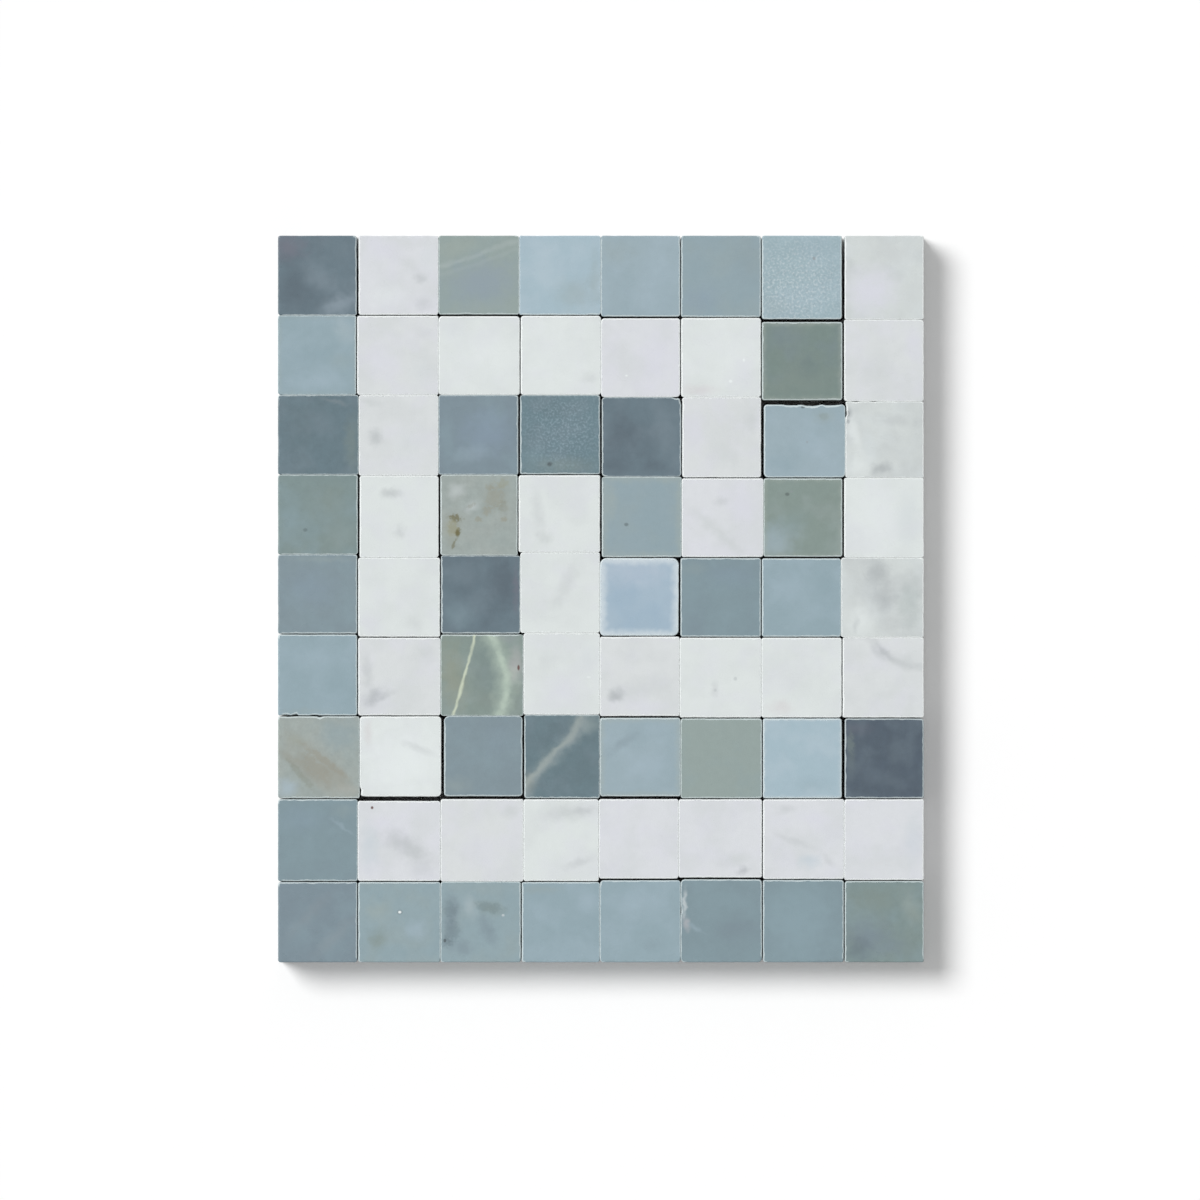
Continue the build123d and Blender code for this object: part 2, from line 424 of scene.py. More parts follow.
# Clouds in the stone: middle from the chip's middle, width and height in mm, turn in
# degrees, tint and strength
CLOUDS = {
    (0, 0): [
        (-5.5, 5.5, 8, 6, 0, "dusk", 0.55), (-4.5, -3, 6, 9, 0, "ink", 0.45),
        (0.5, -0.5, 11, 5, -40, "steel", 0.3), (4, -5.5, 9, 4, 20, "steel", 0.65),
        (4.5, 4.5, 7, 7, 0, "slate", 0.2),
    ],
    (0, 1): [
        (-2, 4.9, 8, 4, -15, "lilac", 0.5), (2.5, 1.5, 8, 3, -35, "mist", 0.5),
        (4.1, -0.5, 2.6, 2, 0, "smoke", 0.45), (4.7, -5.4, 4, 3, 10, "smoke", 0.35),
        (5.6, 3, 4, 8, 0, "pale", 0.4), (-2, -4, 8, 6, 0, "white", 0.3),
    ],
    (0, 2): [
        (0.5, -1.5, 16, 10, 5, "steel", 0.8), (-4, 5.3, 10, 4, 10, "leaf", 0.25),
        (0, -6, 14, 3, 0, "sea", 0.4),
    ],
    (0, 3): [
        (2.8, -3.4, 8, 7, 0, "sea", 0.4), (6.5, -1, 2.5, 12, 0, "sea", 0.35),
        (-3, 2, 8, 10, 0, "ice", 0.3),
    ],
    (0, 4): [(-4.5, 4.5, 9, 6, 0, "sea", 0.3), (3, -1, 8, 12, 0, "sky", 0.2)],
    (0, 5): [(-4, -4.5, 9, 6, 0, "blue", 0.3), (5, 3, 6, 10, 0, "slate", 0.15)],
    (0, 6): [(0, 5.5, 14, 4, 0, "teal", 0.3), (-5, -5.5, 6, 4, 0, "sea", 0.3)],
    (0, 7): [
        (1.5, 4.6, 13, 4, 0, "mist", 0.5), (-2.4, -2.4, 11, 11, 15, "lilac", 0.85),
        (5.2, -3, 5, 8, -20, "mist", 0.5),
    ],
    (1, 0): [
        (-1, 0, 14, 4, 8, "teal", 0.45), (5, 4.5, 4, 6, 25, "pale", 0.15),
        (-1, -5.2, 13, 4, 0, "sky", 0.35), (4.5, -1, 5, 4, 0, "sea", 0.25),
    ],
    (1, 1): [
        (-3.5, -1.5, 8, 8, 0, "lilac", 0.5), (4.8, 4.1, 4, 2.5, 0, "smoke", 0.15),
        (4, -3, 6, 7, 0, "pale", 0.3),
    ],
    (1, 2): [(0, -1, 18, 16, 0, "white", 0.3), (-5, 5, 5, 5, 0, "pale", 0.3)],
    (1, 3): [(-1, 1, 17, 17, 0, "white", 0.3), (5.4, -4.2, 4, 2.4, 0, "mist", 0.5)],
    (1, 4): [(2.8, -0.5, 8, 13, 0, "lilac", 0.6)],
    (1, 5): [
        (-1, 1.5, 17, 15, 0, "white", 0.3), (-4, -6.3, 8, 2.5, 0, "rose", 0.4),
        (4.5, -3, 4, 6, 0, "lilac", 0.4),
    ],
    (1, 6): [
        (-3, 4.5, 10, 5, 0, "slate", 0.3), (0.5, -4, 14, 6, 0, "moss", 0.35),
        (1, -1, 6, 5, 0, "deep", 0.25),
    ],
    (1, 7): [(5.5, 3.5, 4, 7, 0, "lilac", 0.6), (-1, -1, 8, 12, -10, "mist", 0.4)],
    (2, 0): [
        (-3.5, 0, 7, 11, 0, "deep", 0.35), (6.3, -2, 3, 12, 0, "moss", 0.4),
        (3.2, 6.3, 6, 0.9, -14, "ash", 0.3), (0.5, 2, 8, 5, -30, "slate", 0.35),
    ],
    (2, 1): [
        (-4.5, -0.3, 3, 3.8, 10, "smoke", 0.65), (-5, 6.2, 5, 1.8, -15, "mist", 0.7),
        (2, -2, 8, 9, 0, "pale", 0.3),
    ],
    (2, 2): [
        (1.5, 0.5, 11, 10, 0, "blue", 0.5), (-1.3, -3.6, 8, 3.6, 12, "sky", 0.22),
        (-6, -1, 3, 11, 0, "teal", 0.4),
    ],
    (2, 3): [(0, -5.8, 16, 4, 0, "moss", 0.35), (-5, -4, 5, 6, 0, "teal", 0.2)],
    (2, 4): [
        (-4, 1, 7, 9, 0, "ink", 0.55), (4.5, 1, 6, 10, 0, "slate", 0.45),
        (3, -5.6, 6, 2.4, -10, "ink", 0.4), (-5.5, -5.5, 5, 3, 0, "ink", 0.35),
    ],
    (2, 5): [
        (-5.2, 1.2, 5, 10, 0, "lilac", 0.6), (5.6, 3, 3, 5, 0, "mist", 0.7),
        (1, -3, 8, 4, -30, "mist", 0.3),
    ],
    (2, 6): [
        (3.6, 4.6, 4.5, 3, 0, "sea", 0.35), (-4.5, -4.5, 7, 5, 0, "teal", 0.4),
        (2, -1, 9, 6, -25, "sky", 0.3),
    ],
    (2, 7): [
        (2, 3.6, 9, 3, -6, "smoke", 0.4), (-5.6, 1.2, 2.6, 9, 14, "white", 0.5),
        (-3, -1.5, 3, 9, 12, "pale", 0.5), (-0.8, -5.4, 4.5, 2.6, 10, "ash", 0.5),
        (-6.8, 5, 1.8, 2.6, 0, "ash", 0.5), (-5, -5, 5, 6, 0, "white", 0.45),
    ],
    (3, 0): [
        (1.5, 2, 9, 10, 0, "moss", 0.35), (-5, -1.5, 5, 11, 0, "teal", 0.4),
        (4, -4, 6, 6, 0, "sea", 0.25),
    ],
    (3, 1): [(-1.5, 4.4, 4.5, 2.4, 0, "smoke", 0.6), (0.2, -2.9, 2.5, 3, 0, "mist", 0.8)],
    (3, 2): [
        (-4.2, 4.6, 4, 3, 30, "pale", 0.35), (-1.4, 1.6, 4, 2.4, 20, "pale", 0.4),
        (3.5, 3, 7, 7, 0, "khaki", 0.15), (2, -5.2, 10, 4, 0, "sea", 0.3),
        (-5.2, -3, 3.5, 6, 0, "olive", 0.35),
    ],
    (3, 3): [(-4.1, 0.2, 3, 10, 8, "mist", 0.6), (-2.8, -4.7, 3, 3, 25, "smoke", 0.35)],
    (3, 4): [(2, 0, 9, 10, 0, "teal", 0.25), (-5.8, 3, 3, 8, 0, "leaf", 0.35)],
    (3, 5): [
        (-2, -1.5, 13, 2.6, -38, "mist", 0.6), (-0.2, 3.1, 3, 2, 0, "smoke", 0.35),
        (4, 2, 6, 8, 0, "lilac", 0.5), (1.5, -5, 8, 2.4, -35, "mist", 0.6),
    ],
    (3, 6): [
        (-5.5, -4.8, 9, 8, 30, "sky", 0.45), (-3, -2, 9, 6, 30, "teal", 0.3),
        (3.5, 1.5, 8, 12, 0, "moss", 0.15),
    ],
    (3, 7): [(-1.5, 0, 14, 17, 0, "white", 0.3), (4.5, 0, 5, 12, 0, "pale", 0.5)],
    (4, 0): [
        (-1, 1, 11, 8, 0, "blue", 0.25), (1, 6.6, 13, 1.4, 0, "sea", 0.35),
        (5, -3, 5, 7, 0, "teal", 0.25),
    ],
    (4, 1): [(-5.2, -4.5, 5, 5, 0, "lilac", 0.4), (3.2, -5, 4, 3, -30, "mist", 0.5)],
    (4, 2): [
        (4.6, 2.5, 6, 10, 10, "ink", 0.65), (6.7, 1.5, 1.4, 10, 0, "dusk", 0.4),
        (-4.5, -4, 7, 6, 0, "teal", 0.35), (-3, 4, 7, 5, 0, "slate", 0.35),
    ],
    (4, 3): [(1, 1, 3, 10, -25, "mist", 0.6), (-3, -3, 6, 6, 0, "mist", 0.25)],
    (4, 4): [(-5, -5, 5, 5, 0, "sky", 0.3), (-1, 5, 16, 7, 0, "lilac", 0.2)],
    (4, 5): [
        (-5, -5, 6, 5, 0, "slate", 0.35), (2, 4, 10, 5, 0, "blue", 0.2),
        (-5, 5.5, 5, 3, 0, "sea", 0.25),
    ],
    (4, 6): [(-2, 2, 9, 8, 0, "sky", 0.3), (5.2, 0, 4, 12, 0, "teal", 0.25)],
    (4, 7): [
        (-0.9, 4.4, 5, 6, 18, "ash", 0.48), (0.4, -0.4, 4, 5, 10, "ash", 0.4),
        (-0.5, 1, 9, 13, 15, "smoke", 0.35), (5.2, -1, 5, 10, 0, "sea", 0.35),
        (-5, -5, 1.2, 3.4, 0, "ash", 0.4), (-4, -4, 6, 8, 0, "white", 0.45),
    ],
    (5, 0): [
        (-1, 3, 12, 6, 0, "sky", 0.25), (-2, -6.8, 12, 1.2, 0, "sea", 0.3),
        (4, -2, 6, 8, 0, "teal", 0.25),
    ],
    (5, 1): [
        (-4.9, -4, 5.4, 3.2, 35, "ash", 0.42), (-2.4, -3.4, 4, 1.8, 30, "smoke", 0.35),
        (-6, 0.5, 2.4, 9, 8, "smoke", 0.4), (4.5, 4.5, 5, 4, 20, "mist", 0.5),
    ],
    (5, 2): [
        (-5.6, 0, 5.5, 15, 8, "olive", 0.42), (0.5, 0.5, 6, 13, 10, "deep", 0.28),
        (0.8, -4.8, 6, 4, 0, "moss", 0.6), (6.3, 1.6, 3.4, 8, 0, "rose", 0.36),
        (6.6, -4, 3, 6, 0, "moss", 0.5), (4.6, 6.9, 5, 2, 0, "ash", 0.35),
    ],
    (5, 3): [
        (0.5, -3, 10, 8, 0, "lilac", 0.45), (-2.8, 2.3, 4, 4, 0, "mist", 0.35),
        (5, 3, 4, 5, 0, "pale", 0.3),
    ],
    (5, 4): [
        (-4.5, -3.6, 3.4, 3, 10, "ash", 0.65), (-0.5, -2.4, 13, 5, 10, "mist", 0.55),
        (1, -5.8, 11, 3, 0, "lilac", 0.45),
    ],
    (5, 5): [(-1, -2.2, 1.8, 3, 0, "mist", 0.7)],
    (5, 6): [(-4, -5.6, 5, 3, 0, "rose", 0.4), (0, 0, 12, 10, 0, "mist", 0.25)],
    (5, 7): [(-0.2, 4.6, 6, 2.6, -35, "smoke", 0.55), (4.2, 3.2, 7, 3.4, -8, "mist", 0.6)],
    (6, 0): [
        (-1, -1.5, 18, 7, -40, "clay", 0.35), (-2.5, -2.5, 15, 2.4, -40, "clay", 0.4),
        (3.5, -4, 8, 4, -42, "clay", 0.35), (4, 4.5, 10, 8, -20, "teal", 0.5),
        (-6, -5.8, 5, 4, 0, "sky", 0.6), (-4.5, 3.5, 5, 3, -30, "olive", 0.2),
        (5, -6.2, 5, 2.5, 0, "sand", 0.4),
    ],
    (6, 1): [
        (0, -1, 20, 18, 0, "white", 0.6), (-6.2, 4.5, 1.8, 6, 0, "rose", 0.4),
        (3.4, 1.5, 7, 1.6, -20, "mist", 0.6),
    ],
    (6, 2): [(-5, -5.5, 6, 4, 0, "sea", 0.4), (3, 3, 8, 7, 0, "blue", 0.12)],
    (6, 3): [
        (-6.4, -4.8, 2.6, 4, 10, "khaki", 0.4), (5.5, 6, 5, 4, 0, "sea", 0.4),
        (-0.4, 5.2, 5, 3, 0, "deep", 0.4), (4, -2.5, 8, 8, 0, "deep", 0.4),
        (-4, 3, 5, 6, 0, "deep", 0.3),
    ],
    (6, 4): [(-3.2, 2.8, 8, 2.2, 35, "slate", 0.3), (2, -2, 8, 7, 20, "sky", 0.25)],
    (6, 6): [(2, -5, 9, 4, 0, "teal", 0.25)],
    (6, 7): [
        (-6.3, 1, 2, 10, 0, "moss", 0.2), (-5, 5.6, 6, 2.6, 0, "dusk", 0.2),
        (2, 0, 2.6, 14, 0, "ink", 0.4), (5, 2, 2, 12, 0, "slate", 0.15),
        (-2, -3, 7, 4, -15, "slate", 0.2),
    ],
    (7, 0): [
        (-3, 4, 9, 6, 0, "blue", 0.2), (5, 5.6, 5, 3, 0, "sea", 0.25),
        (4.6, 2.6, 6, 0.8, -35, "sky", 0.25), (2, -5, 9, 4, 0, "slate", 0.2),
    ],
    (7, 1): [
        (1.2, -0.8, 11, 4.5, -30, "smoke", 0.6), (-5.6, -1, 4, 10, 0, "ice", 0.35),
        (-3.6, 3.4, 5, 3, 0, "lilac", 0.5), (4.6, -4.6, 7, 5, 0, "smoke", 0.3),
    ],
    (7, 2): [(5.4, 5.4, 4, 2.8, 0, "mist", 0.7), (0, -2, 11, 8, 0, "lilac", 0.45)],
    (7, 3): [
        (1.5, 5.2, 12, 3.4, 3, "smoke", 0.38), (4, 5.6, 4.5, 1.4, 5, "smoke", 0.35),
        (3.6, -4.2, 7, 1.8, 20, "smoke", 0.35),
    ],
    (7, 5): [(4.2, -6, 2.8, 1.8, 20, "ash", 0.4), (3, -4, 6, 3, 20, "mist", 0.6)],
    (7, 6): [
        (-3.4, 5.6, 5, 2, 0, "smoke", 0.35), (2, 4, 8, 3, -10, "lilac", 0.5),
        (-1.5, -0.5, 9, 1.6, -20, "smoke", 0.25), (1.2, -4.2, 5, 3, 0, "ice", 0.5),
        (4.6, -4, 4, 1.6, -45, "smoke", 0.3),
    ],
    (7, 7): [(5.5, 0, 4, 11, 0, "ice", 0.2)],
    (8, 0): [
        (-2, 1, 15, 2.6, 45, "ash", 0.2), (3, -3, 12, 3, 45, "ash", 0.25),
        (-4, -2, 6, 8, 0, "teal", 0.2),
    ],
    (8, 1): [
        (-4.2, 2, 5, 5, 0, "leaf", 0.3), (-4, -3, 4, 5, 0, "moss", 0.4),
        (3.2, -1.4, 5, 4, 0, "sky", 0.4), (1, -5.5, 11, 3, 0, "teal", 0.3),
    ],
    (8, 2): [
        (1.8, 2.7, 7, 3.2, -12, "moss", 0.45), (1.2, -1.4, 3.2, 6.5, 20, "slate", 0.5),
        (-5.6, 0.5, 3.6, 11, 0, "slate", 0.65), (-3.5, -4.8, 5, 3.2, 0, "slate", 0.45),
        (-2, 3, 3, 5, 20, "pale", 0.2), (4.5, 4.8, 6, 4, 0, "teal", 0.3),
    ],
    (8, 3): [(-3.5, 6.2, 9, 2, 0, "sea", 0.4), (5.2, 3.6, 5, 6, 0, "sky", 0.3)],
    (8, 4): [(2.2, -4.4, 4, 2.6, 0, "slate", 0.2), (0, 3, 12, 6, 0, "sky", 0.25)],
    (8, 5): [
        (-7, 3.4, 0.9, 6.4, -4, "pale", 0.65), (-6.6, -0.6, 1.5, 3.2, 15, "rose", 0.4),
        (-4.8, -1.4, 4, 1, -35, "sky", 0.35), (2.5, -1.5, 9, 4, 10, "slate", 0.4),
        (2, 4, 9, 4, 0, "teal", 0.25),
    ],
    (8, 6): [(-1, 0, 17, 17, 0, "teal", 0.85)],
    (8, 7): [
        (-1.5, 4.4, 11, 6, 0, "moss", 0.5), (5, 3, 4, 9, 15, "leaf", 0.3),
        (-3, -3, 11, 8, 0, "slate", 0.75), (-5, -5.2, 6, 5, 0, "ink", 0.35),
        (2, -5, 8, 4, 0, "slate", 0.35),
    ],
}

# Stains, which fine grain breaks up: same form as the clouds
STAINS = {
    (2, 3): [(-2, -5.6, 1.4, 1.4, 0, "soot", 0.45)],
    (2, 6): [(3.6, 4.8, 2.6, 1.8, -20, "moss", 0.3)],
    (3, 2): [
        (-4.6, -0.6, 3.6, 2.2, -10, "mud", 0.75), (-4.1, -3.2, 1.5, 2.2, -20, "mud", 0.8),
        (-4.8, -5.6, 0.9, 2.6, -25, "mud", 0.55), (-5, -2.4, 2.6, 3.8, 0, "olive", 0.7),
        (3, 3.4, 4.6, 6, -20, "khaki", 0.38), (4.4, 1.6, 2.6, 2.6, 0, "mud", 0.2),
        (4.6, -0.8, 1.8, 1.3, 0, "khaki", 0.55), (-0.2, -0.9, 2, 1.3, 0, "khaki", 0.5),
        (4.6, 6, 3, 2.6, -20, "olive", 0.4), (-1.6, 1.8, 3, 1, 20, "mud", 0.25),
        (2, 5.4, 2, 2, 0, "khaki", 0.4), (1.6, 0.8, 3, 2, 30, "khaki", 0.45),
    ],
    (6, 0): [
        (-3.4, -3.4, 11, 1.6, -48, "mud", 0.22), (1.2, -0.7, 14, 1.6, -38, "clay", 0.55),
        (-0.5, -2, 10, 3.4, -42, "clay", 0.5),
    ],
    (6, 7): [(-6.4, 3, 1.6, 5, 0, "moss", 0.25)],
    (8, 1): [(-4.4, -3.6, 4, 3, 0, "moss", 0.3)],
    (8, 2): [
        (-5.8, 2.4, 3.4, 5, 10, "deep", 0.3), (-5.4, -1.8, 4, 5.4, 0, "deep", 0.3),
        (-6.4, -3.8, 2.4, 2.6, 0, "ink", 0.35), (1.8, 2.8, 7, 2.6, -12, "deep", 0.3),
    ],
}

# Spots: middle, width and height in mm, tint and strength
SPOTS = {
    (0, 6): [(2.3, 3.6, 0.6, 0.7, "ash", 0.8)],
    (1, 4): [(-2.7, -3.4, 0.5, 0.4, "white", 0.9)],
    (1, 5): [(4.3, -0.5, 0.5, 0.6, "white", 1), (1.8, -4.5, 0.7, 0.6, "white", 1)],
    (2, 3): [(-2, -5.6, 0.8, 0.8, "soot", 0.45)],
    (2, 6): [(-0.3, 6.4, 0.8, 0.5, "soot", 0.6), (0.5, -0.2, 0.5, 0.5, "ash", 0.4)],
    (2, 7): [(-7.1, 4.9, 0.9, 1.2, "soot", 0.45), (-6.9, 3.4, 0.6, 0.9, "ash", 0.5)],
    (3, 0): [(-2.4, -2.9, 0.9, 0.7, "soot", 0.35)],
    (3, 2): [(-4.1, -3.4, 0.7, 1.5, "mud", 0.8)],
    (3, 4): [(-2.9, -1.4, 0.9, 0.7, "soot", 0.45)],
    (3, 6): [(-3, 4.4, 0.9, 0.7, "soot", 0.5), (-2.2, 4.9, 0.5, 0.4, "ash", 0.5)],
    (5, 2): [(6.9, 1.4, 0.5, 1.1, "rust", 0.85)],
    (5, 3): [(5.1, -0.6, 0.8, 0.4, "white", 0.6)],
    (5, 5): [(2.8, -0.2, 0.7, 0.8, "ash", 0.3), (-1, -2.4, 0.6, 0.6, "ash", 0.2)],
    (7, 1): [(-5.1, 6.3, 0.55, 0.6, "rust", 0.9)],
    (8, 1): [(0.1, 1.9, 1.1, 0.9, "soot", 0.35), (0.1, 1.9, 0.65, 0.55, "white", 1)],
    (8, 2): [(-6.8, -3.5, 0.6, 0.7, "soot", 0.7), (4.2, 1.3, 0.6, 0.5, "pale", 0.6)],
}

# Veins that cross a chip from side to side: points from its middle, width in mm, tint,
# strength, and if the vein runs upright
VEINS = {
    (0, 2): [
        ([(-7.5, 1.6), (-0.9, 3.5), (4.9, 5.7), (7.5, 6.4)], 0.8, "pale", 0.14, False),
        ([(-7.5, 0), (0, 2.2), (6.2, 4.6), (7.5, 5)], 0.7, "pale", 0.06, False),
    ],
    (5, 2): [
        ([(-7.5, -5.4), (-4.5, -4.5), (0, -3.3), (4.5, -2), (7.5, -1.4)],
         0.46, "lime", 0.85, True),
        ([(-7.5, 3.3), (-4.5, 4.2), (-1.5, 4.7), (1.5, 3.9), (5, 2.9), (7.5, 1.6)],
         2.8, "mint", 0.36, True),
        ([(-7.5, 3.5), (-4.5, 4.4), (-1.5, 4.8), (1.5, 4), (5, 3), (7.5, 1.7)],
         1.1, "mint", 0.52, True),
    ],
    (5, 7): [
        ([(-7.5, 7.9), (-2.5, 7.7), (0, 5), (2.5, 2.9), (7.5, 1.9)], 1.3, "ash", 0.22, False),
    ],
    (6, 3): [
        ([(-7.5, -7.8), (-4.4, -6.2), (-2.5, -4.3), (1, -1.5), (3.4, 1.4), (7.5, 3.4)],
         1.1, "leaf", 0.48, True),
        ([(-7.5, -7.6), (-4.4, -6), (-2.5, -4), (1, -1.1), (3.4, 1.9), (7.5, 3.8)],
         1.9, "smoke", 0.24, True),
        ([(-7.5, -7.6), (-4.4, -6), (-2.5, -4.2), (1, -1.2), (3.4, 1.8), (7.5, 4)],
         3.2, "sea", 0.32, True),
    ],
}

# Chips whose colour turns towards their sides: tint, width of the border in mm, strength
BORDERS = {
    (1, 0): ("sea", 1.2, 0.25),
    (1, 6): ("leaf", 1.2, 0.35),
    (3, 4): ("leaf", 1.6, 0.35),
    (3, 6): ("leaf", 1, 0.3),
    (4, 4): ("white", 1.9, 0.5),
    (6, 4): ("leaf", 1.4, 0.35),
    (6, 6): ("pale", 0.8, 0.3),
}

# Chips with coarse grains: where they are densest, their tint and strength
GRAINS = {
    (0, 6): (-1, -1.5, 18, 15, "pale", 0.5),
    (2, 3): (0.5, 1, 14, 13, "sky", 0.32),
}

# How much less polished those chips are
COARSE_DULLNESS = 0.2


class Stone(Recipe):
    """The marble of one chip. Places are millimetres from the middle of its face."""

    # Depth of a mark in mm, and the length and height in mm that a vein's curve spans
    DEEP = 14.0
    SPAN = 16.0

    # How many mm the edges of marks are ragged by, and how many lumps there are to a mm
    RAGGED = 1.5
    RAGGED_SCALE = 0.7

    # Sizes in mm of the lumps in the noises
    LARGE_CLOUDS = 7.0
    SMALL_CLOUDS = 5.0
    MOTTLE = 1.3
    FINE_GRAIN = 0.45
    DARK_GRAIN = 0.6
    TORN_EDGES = 1.8
    VEIN_SWING = 1.7
    VEIN_THICKNESS = 2.2
    VEIN_FADING = 2.8
    GLUE_SMEARS = 5.0
    CHIPPED_EDGES = 0.8
    POLISH_WAVES = 2.5
    GRIT = 0.12

    # Shifts in mm that make a second noise differ from the first, and the stretch of saw lines
    CLOUD_SHIFT = (31.0, 7.0, 19.0)
    GRAIN_SHIFT = (5.0, 3.0, 11.0)
    SAW_STRETCH = (0.3, 0.3, 4.0)

    # Where a cloud and a spot fade, from 0 in the middle past 1 on the edge, and how far the
    # normal has to turn up or down for the face or the back
    CLOUD_FADE = (0.0, 1.35)
    SPOT_FADE = (0.5, 1.3)
    FACING = (0.4, 0.8)

    # Roughness of the sawn sides, what the polish takes from it, how much that varies, and
    # what a worn arris adds
    SAWN_ROUGHNESS = 0.64
    POLISH = 0.36
    POLISH_VARIES = 0.08
    WORN_ROUGHNESS = 0.15
    RELIEF = 0.03 * MM

    def __init__(self, name, middle, seed):
        super().__init__(bpy.data.materials.new(name))
        metres = self.node("TexCoord").outputs["Object"]
        from_middle = self.vector("SUBTRACT", metres, middle)
        self.place = self.vector("MULTIPLY", from_middle, PER_MM)
        self.cut_from = self.vector("ADD", self.place, seed)
        wandering = {"Vector": self.cut_from, "Scale": self.RAGGED_SCALE, "Detail": 3.0}
        wander = self.node("TexNoise", None, wandering).outputs["Color"]
        around_none = self.vector("SUBTRACT", wander, (0.5, 0.5, 0.5))
        ragged = self.vector("MULTIPLY", around_none, (self.RAGGED,) * 3)
        self.bent = self.vector("ADD", self.place, ragged)
        self.fine = self.noise(self.cut_from, self.FINE_GRAIN, 3.0)
        self.torn = self.noise(self.cut_from, self.TORN_EDGES, 4.0) - 0.5
        self.up = self.part(self.node("NewGeometry").outputs["Normal"], "Z")
        self.colour = None

    def tint(self, share, tint):
        """Turns the colour towards a tint."""
        self.colour = self.mix(share, self.colour, polished(*TINTS[tint]))

    def lay(self, marble):
        """The stone's own colour, with clouds of its two tints and a fine mottle."""
        seen, first, second, cloudy, mottled, grainy = marble
        cloud = self.rise(self.noise(self.cut_from, self.LARGE_CLOUDS), 0.40, 0.66)
        moved = self.vector("ADD", self.cut_from, self.CLOUD_SHIFT)
        other_cloud = self.rise(self.noise(moved, self.SMALL_CLOUDS), 0.42, 0.70)
        self.colour = polished(*seen)
        self.tint(cloud * cloudy, first)
        self.tint(other_cloud * cloudy, second)
        mottle = self.noise(self.cut_from, self.MOTTLE, 4.0) - 0.5
        tone = mottle * (2 * mottled) + (self.fine - 0.5) * (2 * grainy)
        self.colour = self.shine(self.colour, tone + 1.0)

    def distance(self, from_place, x, y, width, height, turn=0):
        """How far from the middle of an ellipse, where 1 is on its edge."""
        form = {
            "Vector": from_place,
            "Location": (x, y, 0.0),
            "Rotation": (0.0, 0.0, math.radians(turn)),
            "Scale": (width / 2, height / 2, self.DEEP),
        }
        return self.size(self.node("Mapping", {"vector_type": "TEXTURE"}, form).outputs[0])

    def cloud(self, x, y, width, height, turn, tint, strength):
        """A soft cloud with ragged edges."""
        away = self.distance(self.bent, x, y, width, height, turn) + self.torn
        self.tint((1 - self.rise(away, *self.CLOUD_FADE)) * strength, tint)

    def stain(self, x, y, width, height, turn, tint, strength):
        """A stain that fine grain breaks up."""
        away = self.distance(self.bent, x, y, width, height, turn)
        soaked = self.rise(self.fine - away * 0.35, 0.08, 0.38)
        self.tint(soaked * (1 - self.rise(away, *self.SPOT_FADE)) * strength, tint)

    def spot(self, x, y, width, height, tint, strength):
        """A small speck."""
        away = self.distance(self.place, x, y, width, height)
        self.tint((1 - self.rise(away, *self.SPOT_FADE)) * strength, tint)

    def vein(self, points, width, tint, strength, upright):
        """A vein along a curve from one side of the chip to the other."""
        along, across = ("Y", "X") if upright else ("X", "Y")
        stops = [(a / self.SPAN + 0.5, b / self.SPAN + 0.5) for a, b in points]
        way = self.part(self.place, along) / self.SPAN + 0.5
        curve = self.node("FloatCurve", {"points": stops}, {"Value": way})
        line = (Value(self, curve.outputs[0]) - 0.5) * self.SPAN
        swing = (self.noise(self.cut_from, self.VEIN_SWING, 4.0) - 0.5) * (0.3 + 0.7 * width)
        away = abs(self.part(self.place, across) - line + swing) / width
        thick = self.noise(self.cut_from, self.VEIN_THICKNESS) * 1.4 + 0.25
        faint = (self.noise(self.cut_from, self.VEIN_FADING, 4.0) * 1.6 + 0.1).smaller(1.0)
        self.tint((1 - self.rise(away / thick, 0.05, 1.1)) * faint * strength, tint)

    def border(self, tint, width, strength, half_width, half_height):
        """A border that is another colour, fading inwards."""
        beside = abs(self.part(self.bent, "X")) - half_width
        above = abs(self.part(self.bent, "Y")) - half_height
        self.tint(self.rise(beside.larger(above), -width, 0.0) * strength, tint)

    def grains(self, x, y, width, height, tint, strength):
        """Coarse light and dark grains, thinning out towards the edge of an ellipse."""
        thick = 1 - self.rise(self.distance(self.bent, x, y, width, height), 0.3, 1.4) * 0.7
        pale = self.rise(self.fine, 0.44, 0.72)
        self.tint(pale * thick * strength, tint)
        moved = self.vector("ADD", self.cut_from, self.GRAIN_SHIFT)
        dark = self.rise(self.noise(moved, self.DARK_GRAIN, 3.0), 0.46, 0.72)
        self.tint(dark * thick * (strength * 0.5), "slate")

